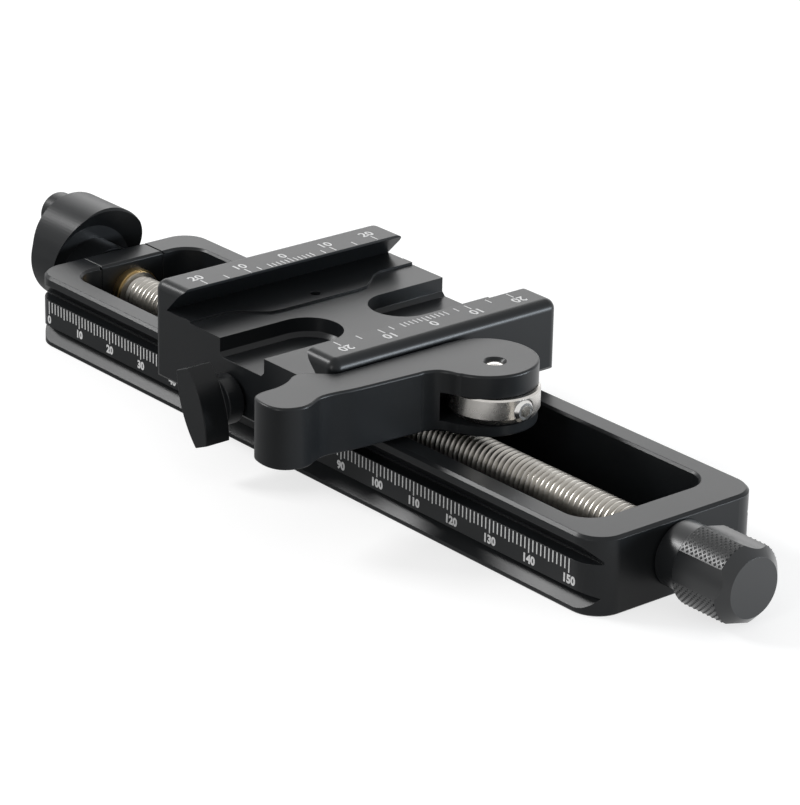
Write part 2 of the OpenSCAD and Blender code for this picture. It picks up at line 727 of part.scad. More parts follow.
// What is cut away over the seat, from the ledge's edge to the end of the carriage
module over_seat() {
    end_y = clamp_y + overrun;
    translate([0, 0, seat_z]) linear_extrude(ledge_h + overrun) polygon(concat(
        [[carriage_x1 + overrun, end_y], [carriage_x1 + overrun, -end_y]],
        [for (i = [0 : ledge_steps]) let (y = end_y * (2 * i / ledge_steps - 1)) [ledge_x(y), y]]
    ));
}

// A pocket in the seat, open at the side of the carriage
module seat_pocket() {
    r0 = pocket_r - pocket_chamfer;
    floor_z = seat_z - pocket_depth;
    translate([carriage_x, pocket_y, floor_z]) rotate_extrude() polygon([
        [0, 0], [r0, 0], [pocket_r, pocket_chamfer],
        [pocket_r, pocket_depth + overrun], [0, pocket_depth + overrun]
    ]);
    translate([carriage_x, 0, floor_z]) along_y(pocket_y, clamp_y + overrun, [
        [-r0, 0], [r0, 0], [pocket_r, pocket_chamfer], [pocket_r, pocket_depth + overrun],
        [-pocket_r, pocket_depth + overrun], [-pocket_r, pocket_chamfer]
    ]);
}

// The nut's four screws at their places
module at_nut_screws() {
    for (x = [nut_x0 + nut_screw_edge, nut_x0 + nut_len - nut_screw_edge], s = [-1, 1])
        translate([x, s * nut_screw_y, 0]) children();
}

module carriage_block() {
    color(black) difference() {
        intersection() {
            along_y(-clamp_y - overrun, clamp_y + overrun, carriage_profile());
            along_x(carriage_x0 - overrun, carriage_x1 + overrun, across_outline(skirt_z, skirt_chamfer));
            mirror([1, 0, 0]) rounded_jaw(-carriage_x1 - overrun, -carriage_x0, skirt_z - overrun);
        }
        along_x(carriage_x0 - overrun, carriage_x1 + overrun, room_outline());
        over_seat();
        seat_pocket();
        mirror([0, 1, 0]) seat_pocket();
        translate([fixed_lip_x + ledge_w / 2 + pin_hole_d / 2, pin_hole_d / 2, 0])
            bar_z(seat_z - pin_hole_depth, ledge_z + overrun, pin_hole_d / 2);
        translate([0, 0, rod_z])
            bar_x(carriage_x1 - rod_grip - seat_gap, carriage_x1 + overrun, rod_r + seat_gap);
        for (s = [-1, 1]) translate([0, s * guide_pin_gap / 2, guide_pin_z]) {
            bar_x(carriage_x1 - guide_pin_grip - slide_gap, carriage_x1 + overrun, guide_pin_r + run_gap);
            bar_x(carriage_x1 - spring_len, carriage_x1 + overrun, spring_bore_r);
        }
        translate([lock_x, 0, lock_z]) bar_y(-clamp_y - overrun, -side_y, stud_r + run_gap);
        at_nut_screws()
            bar_z(deck_z - overrun, deck_z + nut_screw_grip + seat_gap, nut_screw_d / 2 + seat_gap);
    }
}

module drive_nut() {
    color(brass) difference() {
        translate([nut_x0, -nut_w / 2, nut_z0]) cube([nut_len, nut_w, deck_z - nut_z0]);
        translate([0, 0, screw_z]) bar_x(nut_x0 - overrun, nut_x0 + nut_len + overrun, screw_r + run_gap);
        at_nut_screws() {
            bar_z(nut_z0 - overrun, deck_z + overrun, nut_screw_d / 2 + seat_gap);
            bar_z(nut_z0 - overrun, nut_z0 + nut_screw_head_t, nut_screw_head_d / 2 + seat_gap);
        }
    }
}

module nut_screws() {
    color(steel) at_nut_screws() {
        bar_z(nut_z0, deck_z + nut_screw_grip, nut_screw_d / 2);
        bar_z(nut_z0, nut_z0 + nut_screw_head_t, nut_screw_head_d / 2);
    }
}

module draw_rod() {
    color(steel) translate([0, 0, rod_z])
        bar_x(carriage_x1 - rod_grip, pin_x - lever_pin_r - slide_gap, rod_r);
}

module cam_barrel() {
    color(steel) translate([pin_x, 0, rod_z]) difference() {
        translate([0, 0, -barrel_h / 2]) rotate_extrude() polygon([
            [0, 0], [barrel_r - barrel_chamfer, 0], [barrel_r, barrel_chamfer],
            [barrel_r, barrel_h - barrel_top_chamfer], [barrel_r - barrel_top_chamfer, barrel_h],
            [0, barrel_h]
        ]);
        bar_x(-barrel_r - overrun, barrel_r + overrun, rod_r + seat_gap);
        bar_z(-barrel_h, barrel_h, lever_pin_r + run_gap);
    }
}

module barrel_set_screw() {
    end_x = barrel_r + rod_screw_proud;
    color(steel) translate([pin_x, 0, rod_z]) difference() {
        turned_x([
            [lever_pin_r + slide_gap, 0], [lever_pin_r + slide_gap, rod_r],
            [end_x - rod_r * sunk_share, rod_r], [end_x, rod_r - rod_r * sunk_share], [end_x, 0]
        ]);
        translate([end_x + overrun, 0, 0]) rotate([0, -90, 0])
            cylinder(h = rod_r + overrun, r = rod_r * socket_share, $fn = 6);
    }
}

// One coil spring along X: a wire of six sides wound round the guide pin
module coil_spring(length) {
    sides = spring_sides;
    count = spring_turns * spring_steps;
    run = length - wire_d;
    points = [
        for (i = [0 : count], k = [0 : sides - 1])
            let (a = 360 * i / spring_steps, b = 360 * k / sides, r = coil_r + wire_d / 2 * cos(b))
            [wire_d / 2 + run * i / count + wire_d / 2 * sin(b), r * cos(a), r * sin(a)]
    ];
    sides_faces = [
        for (i = [0 : count - 1], k = [0 : sides - 1])
            let (a = i * sides + k, b = i * sides + (k + 1) % sides)
            each [[a, b, a + sides], [b, b + sides, a + sides]]
    ];
    start = [for (k = [1 : sides - 2]) [0, k + 1, k]];
    end = [for (k = [1 : sides - 2]) [count * sides, count * sides + k, count * sides + k + 1]];
    polyhedron(points, concat(sides_faces, start, end));
}

module jaw_springs() {
    color(steel) for (s = [-1, 1]) translate([carriage_x1 - spring_len, s * guide_pin_gap / 2, guide_pin_z])
        coil_spring(spring_len);
}

// The moving jaw in side view: foot, back, lip and undercut
function jaw_profile() = [
    [jaw_x0, jaw_z0], [jaw_x1 - skirt_chamfer, jaw_z0], [jaw_x1 + overrun, jaw_z0 + skirt_chamfer + overrun],
    [jaw_x1 + overrun, jaw_top_z + overrun], [moving_lip_x, jaw_top_z + overrun],
    [moving_lip_x, jaw_top_z - lip_edge], [moving_lip_x + undercut, ledge_z],
    [jaw_x0, ledge_z]
];

module movable_jaw() {
    color(black) difference() {
        intersection() {
            along_y(-clamp_y - overrun, clamp_y + overrun, jaw_profile());
            along_x(jaw_x0 - overrun, jaw_x1 + overrun, across_outline(jaw_z0, skirt_chamfer));
            rounded_jaw(jaw_x0 - overrun, jaw_x1, jaw_z0 - overrun);
        }
        translate([0, 0, rod_z]) bar_x(jaw_x0 - overrun, jaw_x1 + overrun, rod_r + slide_gap);
        for (s = [-1, 1]) translate([0, s * guide_pin_gap / 2, guide_pin_z])
            bar_x(jaw_x0 - overrun, jaw_x1 - slide_gap, guide_pin_r + seat_gap);
    }
}

module jaw_guide_pins() {
    color(steel) for (s = [-1, 1]) translate([0, s * guide_pin_gap / 2, guide_pin_z])
        bar_x(carriage_x1 - guide_pin_grip, jaw_x1 - 2 * slide_gap, guide_pin_r);
}

// The lever seen from above: the round cam head, and the arm drawn as one smooth closed curve
module lever_outline() {
    count = len(lever_x_shares);
    through = concat(
        [for (i = [0 : count - 1]) [lever_x_shares[i] * head_r, -lever_y_shares[i] * lever_len]],
        [for (p = root_shares) head_r * p]
    );
    steps = curve_steps;
    translate([-cam_offset, 0]) circle(r = head_r);
    polygon([for (i = [0 : len(through) - 1], k = [0 : steps - 1]) curve_point(through, i, k / steps)]);
}

module lever_arm() {
    color(black) translate([pin_x, 0, 0]) difference() {
        translate([0, 0, lever_z0]) linear_extrude(lever_h) lever_outline();
        bar_z(ear_z0, ear_z1, arm_slot_r);
        intersection() {
            bar_z(ear_z0, ear_z1, ear_slot_r);
            translate([-ear_slot_r, -rod_r - 2 * slide_gap, ear_z0 - overrun])
                cube([2 * ear_slot_r, 2 * ear_slot_r, ear_gap + 2 * overrun]);
        }
        bar_z(lever_z0 - overrun, lever_z1 + overrun, lever_pin_r + seat_gap);
        translate([0, 0, lever_z1 - pin_sink])
            cylinder(h = pin_sink, r1 = lever_pin_r + seat_gap, r2 = lever_pin_r + pin_sink);
    }
}

module lever_pin() {
    color(steel) translate([pin_x, 0, 0]) bar_z(lever_z0 + thrust_gap, lever_z1 - pin_sink / 2, lever_pin_r);
}

// The wing's outline, upright: two wide arcs cut to its height
module wing_outline() {
    intersection() {
        translate([wing_r - wing_t / 2, 0]) circle(r = wing_r);
        translate([-wing_r + wing_t / 2, 0]) circle(r = wing_r);
        square([wing_t, wing_h], center = true);
    }
}

module lock_knob() {
    wing_y = boss_y - boss_len;
    color(black) translate([lock_x, 0, lock_z]) difference() {
        union() {
            bar_y(wing_y, boss_y, boss_d / 2);
            translate([0, wing_y, 0]) rotate([90, 0, 0]) rotate([0, 0, wing_lean])
                linear_extrude(wing_len) wing_outline();
        }
        bar_y(wing_y - overrun, boss_y + overrun, stud_r + seat_gap);
    }
}

module lock_stud() {
    color(steel) translate([lock_x, 0, lock_z]) bar_y(boss_y - boss_len, pad_y - pad_t, stud_r);
}

module lock_pad() {
    color(brass) translate([lock_x, 0, lock_z]) bar_y(pad_y - pad_t, pad_y, stud_r - run_gap);
}

rail_frame();
bearing_block();
bearing_block_screws();
rear_bush();
front_bush();
lead_screw();
thrust_washers();
fine_knob();
fine_knob_set_screw();
crank_body();
crank_set_screw();
peg_axle();
crank_peg();
carriage_block();
drive_nut();
nut_screws();
draw_rod();
cam_barrel();
barrel_set_screw();
jaw_springs();
movable_jaw();
jaw_guide_pins();
lever_arm();
lever_pin();
lock_knob();
lock_stud();
lock_pad();
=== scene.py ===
import math

import bmesh
import bpy
import numpy as np
from mathutils import Matrix, Vector


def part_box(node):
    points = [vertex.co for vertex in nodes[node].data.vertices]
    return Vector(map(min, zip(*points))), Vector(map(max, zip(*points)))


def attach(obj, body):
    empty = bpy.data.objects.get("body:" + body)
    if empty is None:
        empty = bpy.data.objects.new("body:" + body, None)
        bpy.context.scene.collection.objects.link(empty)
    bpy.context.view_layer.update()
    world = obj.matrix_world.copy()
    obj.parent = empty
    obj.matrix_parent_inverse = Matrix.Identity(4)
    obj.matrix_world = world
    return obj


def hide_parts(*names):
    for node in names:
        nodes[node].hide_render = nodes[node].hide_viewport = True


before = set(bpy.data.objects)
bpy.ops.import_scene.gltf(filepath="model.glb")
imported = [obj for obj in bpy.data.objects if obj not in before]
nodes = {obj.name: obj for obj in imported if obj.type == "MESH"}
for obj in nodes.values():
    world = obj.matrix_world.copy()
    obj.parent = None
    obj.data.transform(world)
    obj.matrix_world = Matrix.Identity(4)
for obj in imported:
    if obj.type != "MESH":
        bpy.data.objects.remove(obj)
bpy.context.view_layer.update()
mm = 0.001
print("frame loaded:", len(nodes), "nodes")


def corners(node):   # lowest and highest corner of a CAD node, in millimetres
    low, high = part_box(node)
    return np.array(low) / mm, np.array(high) / mm


railLow = corners("rail_frame")[0]
screwLow, screwHigh = corners("lead_screw")
washerLow, washerHigh = corners("thrust_washers")
knobLow, knobHigh = corners("fine_knob")
carriageLow, carriageHigh = corners("carriage_block")
jawLow, jawHigh = corners("movable_jaw")
leverLow, leverHigh = corners("lever_arm")
pinLow, pinHigh = corners("lever_pin")
axisZ = (screwLow[2] + screwHigh[2]) / 2   # height of the lead screw
leastAngle = 30                            # an edge that turns less, in degrees, is never rounded


class Wire:
    # a node's output that reads as a number: a + b, 2 * a and so on add Math nodes

    def __init__(self, tree, socket=None):
        self.tree = tree
        self.socket = socket

    def node(self, kind, settings=None, values=None, out=0):
        # any node: settings first, a ramp's stops among them, then values or wires for its sockets
        made = self.tree.nodes.new(kind)
        for name, value in (settings or {}).items():
            if name == "stops":
                ramp = made.color_ramp
                for i, (place, colour) in enumerate(value):
                    stop = ramp.elements[i] if i < 2 else ramp.elements.new(place)
                    stop.position = place
                    stop.color = colour
            else:
                setattr(made, name, value)
        for key, value in (values or {}).items():
            if isinstance(value, Wire):
                self.tree.links.new(value.socket, made.inputs[key])
            else:
                made.inputs[key].default_value = value
        return Wire(self.tree, made.outputs[out])

    def maths(self, operation, *values):
        return self.node("ShaderNodeMath", {"operation": operation}, dict(enumerate(values)))

    def __add__(self, other):
        return self.maths("ADD", self, other)

    def __mul__(self, other):
        return self.maths("MULTIPLY", self, other)

    __radd__ = __add__
    __rmul__ = __mul__

    def between(self, low, high):   # runs from 0 at low to 1 at high
        return self.node("ShaderNodeMapRange", {"clamp": True}, {0: self, 1: low, 2: high, 3: 0.0, 4: 1.0})

    def mixed(self, first, second):   # a colour, from first at 0 to second at 1
        return self.node("ShaderNodeMix", {"data_type": "RGBA"}, {0: self, 6: first, 7: second}, out=2)

    def into(self, socket):
        self.tree.links.new(self.socket, socket)


def newMaterial(name):   # a Principled material, a Wire of its tree and one of the object's coordinates
    material = bpy.data.materials.new(name)
    material.use_nodes = True
    start = Wire(material.node_tree)
    place = start.node("ShaderNodeTexCoord", out="Object")
    return material, material.node_tree.nodes["Principled BSDF"], start, place


def grey(level, warm=0.0):
    return (level * (1 + warm), level, level * (1 - warm), 1.0)


anodised = {
    "level": 0.010, "spread": 0.2,              # the dye's grey, and how much it wanders
    "warm": -0.1,                               # its tint: below 0 it is bluish
    "rough": 0.32, "roughSpread": 0.03, "ior": 1.30,
    "cloud": 55.0,                              # patches, in a metre
    "grain": 7000.0, "grainHeight": 0.0000022,  # blasted grain, in a metre and metres
}


# Satin black anodised aluminium. Colour = level * (1 + spread * (cloud - 1/2) * 2), roughness wanders with
# the same cloud, and the bump is fine grain. Turned faces add rings: height * sin(distance * 2 pi / pitch),
# with the distance taken from an axis along X, through y and z.
def blackAnodised(name, rings=None, **changed):
    s = {**anodised, **changed}
    material, shader, start, place = newMaterial(name)
    cloud = start.node("ShaderNodeTexNoise", {}, {"Vector": place, "Scale": s["cloud"], "Detail": 3.0})
    grain = start.node("ShaderNodeTexNoise", {}, {"Vector": place, "Scale": s["grain"], "Detail": 2.0})
    dark, light = (grey(s["level"] * share, s["warm"]) for share in (1 - s["spread"], 1 + s["spread"]))
    cloud.mixed(dark, light).into(shader.inputs["Base Color"])
    (cloud * (2 * s["roughSpread"]) + (s["rough"] - s["roughSpread"])).into(shader.inputs["Roughness"])
    height = grain * s["grainHeight"]
    if rings:
        across = start.node("ShaderNodeMapping", {}, {
            "Vector": place, "Location": (0, -rings["y"] * mm, -rings["z"] * mm), "Scale": (0, 1, 1)})
        distance = start.node("ShaderNodeVectorMath", {"operation": "LENGTH"}, {0: across}, out=1)
        ring = (distance * (2 * math.pi / (rings["pitch"] * mm))).maths("SINE")
        height = height + ring * (rings["height"] * mm)
    start.node("ShaderNodeBump", {}, {"Height": height, "Strength": 1.0, "Distance": 1.0}).into(
        shader.inputs["Normal"])
    shader.inputs["IOR"].default_value = s["ior"]
    return material


metal = {"cloud": 350.0, "dark": 0.85, "light": 1.05, "roughSpread": 0.05}


# Turned or drawn metal. Colour = colour * (dark + (light - dark) * cloud), roughness wanders by roughSpread
# with the same cloud, and the bump is a noise that is drawn out along the marks of the tool: lines is its
# scale in X, Y and Z.
def turnedMetal(name, colour, rough, lines=(400.0, 400.0, 400.0), lineHeight=0.000001):
    s = metal
    material, shader, start, place = newMaterial(name)
    cloud = start.node("ShaderNodeTexNoise", {}, {"Vector": place, "Scale": s["cloud"], "Detail": 4.0})
    stretched = start.node("ShaderNodeMapping", {}, {"Vector": place, "Scale": lines})
    marks = start.node("ShaderNodeTexNoise", {}, {"Vector": stretched, "Scale": 1.0, "Detail": 3.0})
    dark, light = (tuple(c * share for c in colour) + (1.0,) for share in (s["dark"], s["light"]))
    cloud.mixed(dark, light).into(shader.inputs["Base Color"])
    (cloud * (2 * s["roughSpread"]) + (rough - s["roughSpread"])).into(shader.inputs["Roughness"])
    start.node("ShaderNodeBump", {}, {"Height": marks * lineHeight, "Strength": 1.0, "Distance": 1.0}).into(
        shader.inputs["Normal"])
    shader.inputs["Metallic"].default_value = 1.0
    return material


whiteInk = {"specks": 2500.0, "thin": 0.5, "full": 0.78, "rough": 0.5}


# White printing ink. Grey = thin + (full - thin) * a fine noise, as thin ink on blasted metal has.
def whitePrint():
    s = whiteInk
    material, shader, start, place = newMaterial("whitePrint")
    cover = start.node("ShaderNodeTexNoise", {}, {"Vector": place, "Scale": s["specks"], "Detail": 2.0})
    cover.mixed(grey(s["thin"]), grey(s["full"])).into(shader.inputs["Base Color"])
    shader.inputs["Roughness"].default_value = s["rough"]
    return material


black = blackAnodised("blackAnodised")
turnedBlack = blackAnodised("turnedBlack", {"y": 0.0, "z": axisZ, "pitch": 0.14, "height": 0.0011})
glossBlack = blackAnodised("glossBlack", rough=0.31, ior=1.5)   # the fine knob was turned, not blasted
steel = turnedMetal("stainlessSteel", (0.47, 0.45, 0.415), 0.34)
barrelSteel = turnedMetal("barrelSteel", (0.60, 0.58, 0.55), 0.27, (700.0, 700.0, 14000.0), 0.0000018)
pinSteel = turnedMetal("pinSteel", (0.62, 0.60, 0.57), 0.22)
screwSteel = turnedMetal("screwSteel", (0.40, 0.40, 0.41), 0.3)
socketSteel = turnedMetal("socketSteel", (0.72, 0.71, 0.69), 0.26)
brass = turnedMetal("brass", (0.62, 0.44, 0.20), 0.3, (12000.0, 600.0, 600.0), 0.000002)
springSteel = turnedMetal("springSteel", (0.55, 0.54, 0.52), 0.25)
ink = whitePrint()
print("materials made")


def newObject(name, verts, faces, material):   # places in metres
    mesh = bpy.data.meshes.new(name)
    mesh.from_pydata(np.asarray(verts, float).tolist(), [], [list(map(int, f)) for f in faces])
    mesh.validate()
    thing = bpy.data.objects.new(name, mesh)
    bpy.context.scene.collection.objects.link(thing)
    thing.data.materials.append(material)
    return thing


# All meshes go into the first object, with their normals outward. Past the angle smooth, in degrees, an edge
# stays sharp.
def join(things, smooth=None):
    work = bmesh.new()
    for thing in things:
        work.from_mesh(thing.data)
    bmesh.ops.recalc_face_normals(work, faces=work.faces)
    work.to_mesh(things[0].data)
    work.free()
    for thing in things[1:]:
        bpy.data.objects.remove(thing)
    if smooth:
        things[0].data.shade_smooth()
        things[0].data.set_sharp_from_angle(angle=math.radians(smooth))
    return things[0]


def settle(thing, body, slot=None, *replaced):   # rides on its body and hides the nodes that it replaces; slot is not used
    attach(thing, body)
    if replaced:
        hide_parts(*replaced)
    return thing


# merge and tiny are lengths in millimetres, flat is the angle of faces that become one, and an edge is asked
# for its rounding past the angle least
dressing = {"merge": 0.002, "tiny": 0.001, "flat": 0.4, "least": 20, "smooth": 30, "segments": 3}


# A copy of a CAD node with rounded edges: rounding(middle, along, angle) gives an edge's radius in
# millimetres from its middle, its direction and its angle in degrees. Without clamp, one short edge doesn't
# hold back the others.
def dressed(node, body, slot, material, rounding, clamp=True):
    s = dressing
    mesh = nodes[node].data.copy()
    work = bmesh.new()
    work.from_mesh(mesh)
    bmesh.ops.remove_doubles(work, verts=work.verts, dist=s["merge"] * mm)
    bmesh.ops.dissolve_degenerate(work, edges=work.edges, dist=s["tiny"] * mm)
    bmesh.ops.dissolve_limit(work, angle_limit=math.radians(s["flat"]), verts=work.verts, edges=work.edges)
    sizes = []
    for edge in work.edges:
        size = 0.0
        if len(edge.link_faces) == 2:
            angle = math.degrees(edge.calc_face_angle(0.0))
            if angle > s["least"]:
                a, b = edge.verts[0].co / mm, edge.verts[1].co / mm
                size = rounding((a + b) / 2, (b - a).normalized(), angle)
        sizes.append(size)
    work.to_mesh(mesh)
    work.free()
    widest = max(sizes)
    weights = mesh.attributes.new("bevel_weight_edge", "FLOAT", "EDGE")
    weights.data.foreach_set("value", np.array(sizes, np.float32) / max(widest, 1e-9))
    thing = bpy.data.objects.new(node + "_finished", mesh)
    bpy.context.scene.collection.objects.link(thing)
    thing.data.materials.clear()
    thing.data.materials.append(material)
    if widest > 0:
        bevel = thing.modifiers.new("edges", "BEVEL")
        bevel.limit_method = "WEIGHT"
        bevel.width = widest * mm
        bevel.segments = s["segments"]
        bevel.use_clamp_overlap = clamp
        bevel.loop_slide = True
    mesh.shade_smooth()
    mesh.set_sharp_from_angle(angle=math.radians(s["smooth"]))
    thing.modifiers.new("normals", "WEIGHTED_NORMAL").keep_sharp = True
    return settle(thing, body, slot, node)


def evenly(radius):   # one radius for every edge that turns more than the least angle
    return lambda middle, along, angle: radius if angle > leastAngle else 0.0


# A surface turned about an axis: a ring of steps points for each (place, radius) of the profile, or one
# point where the radius is zero. along is "x" or "z", and centre is the axis's place in the other two.
def turned(profile, steps, along, centre):
    turn = 2 * np.pi * np.arange(steps) / steps
    verts, faces, rings = [], [], []
    for place, radius in profile:
        count = 1 if radius <= 0 else steps
        a = centre[0] + radius * np.cos(turn[:count])
        b = centre[1] + radius * np.sin(turn[:count])
        c = np.full(count, place)
        rings.append(np.arange(len(verts), len(verts) + count))
        verts.extend(np.stack([c, a, b] if along == "x" else [a, b, c], -1).tolist())
    k = np.arange(steps)
    n = (k + 1) % steps
    for low, high in zip(rings, rings[1:]):
        corner = [low[k % len(low)], high[k % len(high)], high[n % len(high)], low[n % len(low)]]
        if len(low) == 1:
            corner.pop(0)
        elif len(high) == 1:
            corner.pop(1)
        faces.extend(np.stack(corner, -1).tolist())
    return np.array(verts) * mm, faces


dressed("rail_frame", "rail", "black_anodised", black, evenly(0.18))
dressed("bearing_block", "rail", "black_anodised", black, evenly(0.12))
print("rail dressed")


thread = {
    "pitch": 1.25, "major": 4.0, "minor": 3.38,     # major and minor are radii
    "crest": 0.16, "root": 0.2,                     # flats, as parts of the pitch
    "steps": 40, "before": 1.5,                     # points in a turn, and turns that start before the end
    "journal": 3.0, "washer": 0.5, "chamfer": 0.55,
    "dip": 0.3,                                     # how far the core's ends slope in under the thread
    "merge": 0.0005, "tiny": 0.0004, "smooth": 35,
}


# The thread as one surface over two parameters: round the screw, and along it in rows that climb by a pitch
# a turn. Radius = minor + (major - minor) * a trapezium of the place across the pitch, cut by end chamfers.
def threadedScrew():
    s = thread
    x0, x1 = washerLow[0] + s["washer"], washerHigh[0] - s["washer"]
    share = np.array([0, s["root"] / 2, 0.5 - s["crest"] / 2, 0.5 + s["crest"] / 2, 1 - s["root"] / 2])
    height = np.array([0, 0, 1, 1, 0])
    perTurn, cols = len(share), s["steps"]
    row = np.arange((int((x1 - x0) / s["pitch"]) + 3) * perTurn)
    place = (row // perTurn + share[row % perTurn])[:, None]
    angle = np.arange(cols)[None, :] / cols
    x = x0 + (place - s["before"] + angle) * s["pitch"]
    radius = s["minor"] + (s["major"] - s["minor"]) * height[row % perTurn][:, None] + 0 * x
    radius = np.minimum(radius, s["major"] - s["chamfer"] + np.maximum(np.minimum(x - x0, x1 - x), 0))
    x = np.clip(x, x0, x1)
    turn = 2 * np.pi * angle + 0 * x
    points = np.stack([x, radius * np.cos(turn), radius * np.sin(turn) + axisZ], -1).reshape(-1, 3)
    i, j = np.meshgrid(np.arange(len(row) - perTurn - 1), np.arange(cols), indexing="ij")
    wrap = (j + 1) // cols * perTurn
    k = (j + 1) % cols
    quads = np.stack([(i + 1) * cols + j, (i + 1 + wrap) * cols + k, (i + wrap) * cols + k, i * cols + j],
                     -1).reshape(-1, 4)
    quads = quads[np.ptp(points[quads][:, :, 0], axis=1) > 1e-6]
    screw = newObject("threaded_screw", points * mm, quads, steel)
    work = bmesh.new()
    work.from_mesh(screw.data)
    bmesh.ops.remove_doubles(work, verts=work.verts, dist=s["merge"] * mm)
    bmesh.ops.dissolve_degenerate(work, edges=work.edges, dist=s["tiny"] * mm)
    work.to_mesh(screw.data)
    work.free()
    end, dip = s["major"] - s["chamfer"], s["dip"]
    profile = [(screwLow[0], 0), (screwLow[0], s["journal"]), (x0, s["journal"]), (x0, end),
               (x0 + dip, end - dip), (x1 - dip, end - dip), (x1, end), (x1, s["journal"]),
               (screwHigh[0], s["journal"]), (screwHigh[0], 0)]
    core = newObject("core", *turned(profile, cols, "x", (0, axisZ)), steel)
    return settle(join([screw, core], s["smooth"]), "screw", "stainless_steel", "lead_screw")


threadedScrew()
print("lead screw cut")


knurl = {
    "pitch": 0.76, "depth": 0.25, "proud": 0.22, "step": 0.0754, "phase": 0.25, "smooth": 25,
    "inner": 6.8, "neck": 4.7, "fromNeck": 1.0, "toEnd": 2.05,
    "half": 22.5, "first": 31.0,   # half a patch's arc and the first one's place, in degrees
}


# Four patches of diamond knurling. Height = depth * min(ridge(a), ridge(b)), where a and b count pitches
# along the two diagonals of the length and the arc, and ridge(t) = |2 frac(t) - 1|.
def knurledArcs():
    s = knurl
    peak = (knobHigh[1] - knobLow[1]) / 2 + s["proud"]
    across = math.radians(s["half"]) * peak
    x0, x1 = knobLow[0] + s["neck"] + s["fromNeck"], knobHigh[0] - s["toEnd"]
    gx, ga = np.meshgrid(np.linspace(x0, x1, int((x1 - x0) / s["step"])),
                         np.linspace(-across, across, int(2 * across / s["step"])), indexing="ij")
    a = (gx + ga) / (s["pitch"] * math.sqrt(2)) + s["phase"]
    b = (gx - ga) / (s["pitch"] * math.sqrt(2)) + s["phase"]
    ridge = np.minimum(np.abs(2 * (a % 1) - 1), np.abs(2 * (b % 1) - 1))
    radius = np.concatenate([peak - s["depth"] * (1 - ridge), np.full_like(ridge, s["inner"])], 1)
    along = np.concatenate([gx, gx], 1)
    arc = np.concatenate([ga, ga[:, ::-1]], 1) / peak
    rows, cols = radius.shape
    i, j = np.meshgrid(np.arange(rows - 1), np.arange(cols), indexing="ij")
    k = (j + 1) % cols
    quads = np.stack([i * cols + j, i * cols + k, (i + 1) * cols + k, (i + 1) * cols + j], -1)
    faces = quads.reshape(-1, 4).tolist() + [list(range(cols)), list(range((rows - 1) * cols, rows * cols))]
    patches = []
    for quarter in range(4):
        turn = math.radians(s["first"] + 90 * quarter) + arc
        points = np.stack([along, radius * np.cos(turn), radius * np.sin(turn) + axisZ], -1).reshape(-1, 3)
        patches.append(newObject("knob_knurling", points * mm, faces, glossBlack))
    return settle(join(patches, s["smooth"]), "screw", "black_anodised")


dressed("fine_knob", "screw", "black_anodised", glossBlack, evenly(0.14))
knurledArcs()
print("fine knob made")


dressed("crank_body", "screw", "black_anodised", turnedBlack, evenly(0.2))
dressed("crank_peg", "peg", "black_anodised", black, evenly(0.25))
print("crank made")


jawScale = {"short": 1.6, "middle": 1.8, "long": 2.1, "width": 0.26, "numbers": 3.45, "size": 2.9,
            "thick": 0.02, "edge": 0.35, "bold": 0.02,
            "places": [-20, -15, -10, -7.5, -5, -4, -3, -2, -1, 0, 1, 2, 3, 4, 5, 7.5, 10, 15, 20],
            "fixedLip": 8.65, "movingLip": 7.95}   # from each jaw's back to its lip
jawEdges = {"top": 0.55, "rest": 0.15, "topZone": 0.05, "lipZone": 0.1}
# the low step lies between two depths below the jaw's top
carriageEdges = {"rest": 0.2, "step": 0.1, "stepFrom": 4.9, "stepTo": 5.6, "lipZone": 0.6}


# The moving jaw's top is well rounded at the back and the ends, and sharper at the lip.
def jawRounding(middle, along, angle):
    s = jawEdges
    if angle < leastAngle:
        return 0.0
    atLip = middle.x < jawHigh[0] - jawScale["movingLip"] + s["lipZone"]
    if middle.z < jawHigh[2] - s["topZone"] or atLip:
        return s["rest"]
    return s["top"]


# The carriage is rounded less at the seat's low step, and not at all under the fixed jaw's lip.
def carriageRounding(middle, along, angle):
    s = carriageEdges
    if angle < leastAngle:
        return 0.0
    if s["stepFrom"] < carriageHigh[2] - middle.z < s["stepTo"]:
        return 0.0 if middle.x < carriageLow[0] + jawScale["fixedLip"] + s["lipZone"] else s["step"]
    return s["rest"]


dressed("carriage_block", "carriage", "black_anodised", black, carriageRounding)
dressed("movable_jaw", "jaw", "black_anodised", black, jawRounding)
print("carriage and jaw dressed")


# past this share of its direction along Z an edge is an upright, and pinZone keeps the pin's hole sharp
leverEdges = {"top": 0.4, "bottom": 0.3, "zone": 0.1, "upright": 0.5, "pinZone": 3}


# The lever's outline is rounded above and below, and its uprights aren't.
def leverRounding(middle, along, angle):
    s = leverEdges
    fromPin = math.hypot(middle.x - (pinLow[0] + pinHigh[0]) / 2, middle.y - (pinLow[1] + pinHigh[1]) / 2)
    if abs(along.z) > s["upright"] or angle < leastAngle or fromPin < s["pinZone"]:
        return 0.0
    if middle.z > leverHigh[2] - s["zone"]:
        return s["top"]
    return s["bottom"] if middle.z < leverLow[2] + s["zone"] else 0.0


pin = {"dome": 0.28, "steps": 48, "rings": 8, "chamfer": 0.2, "smooth": 35}


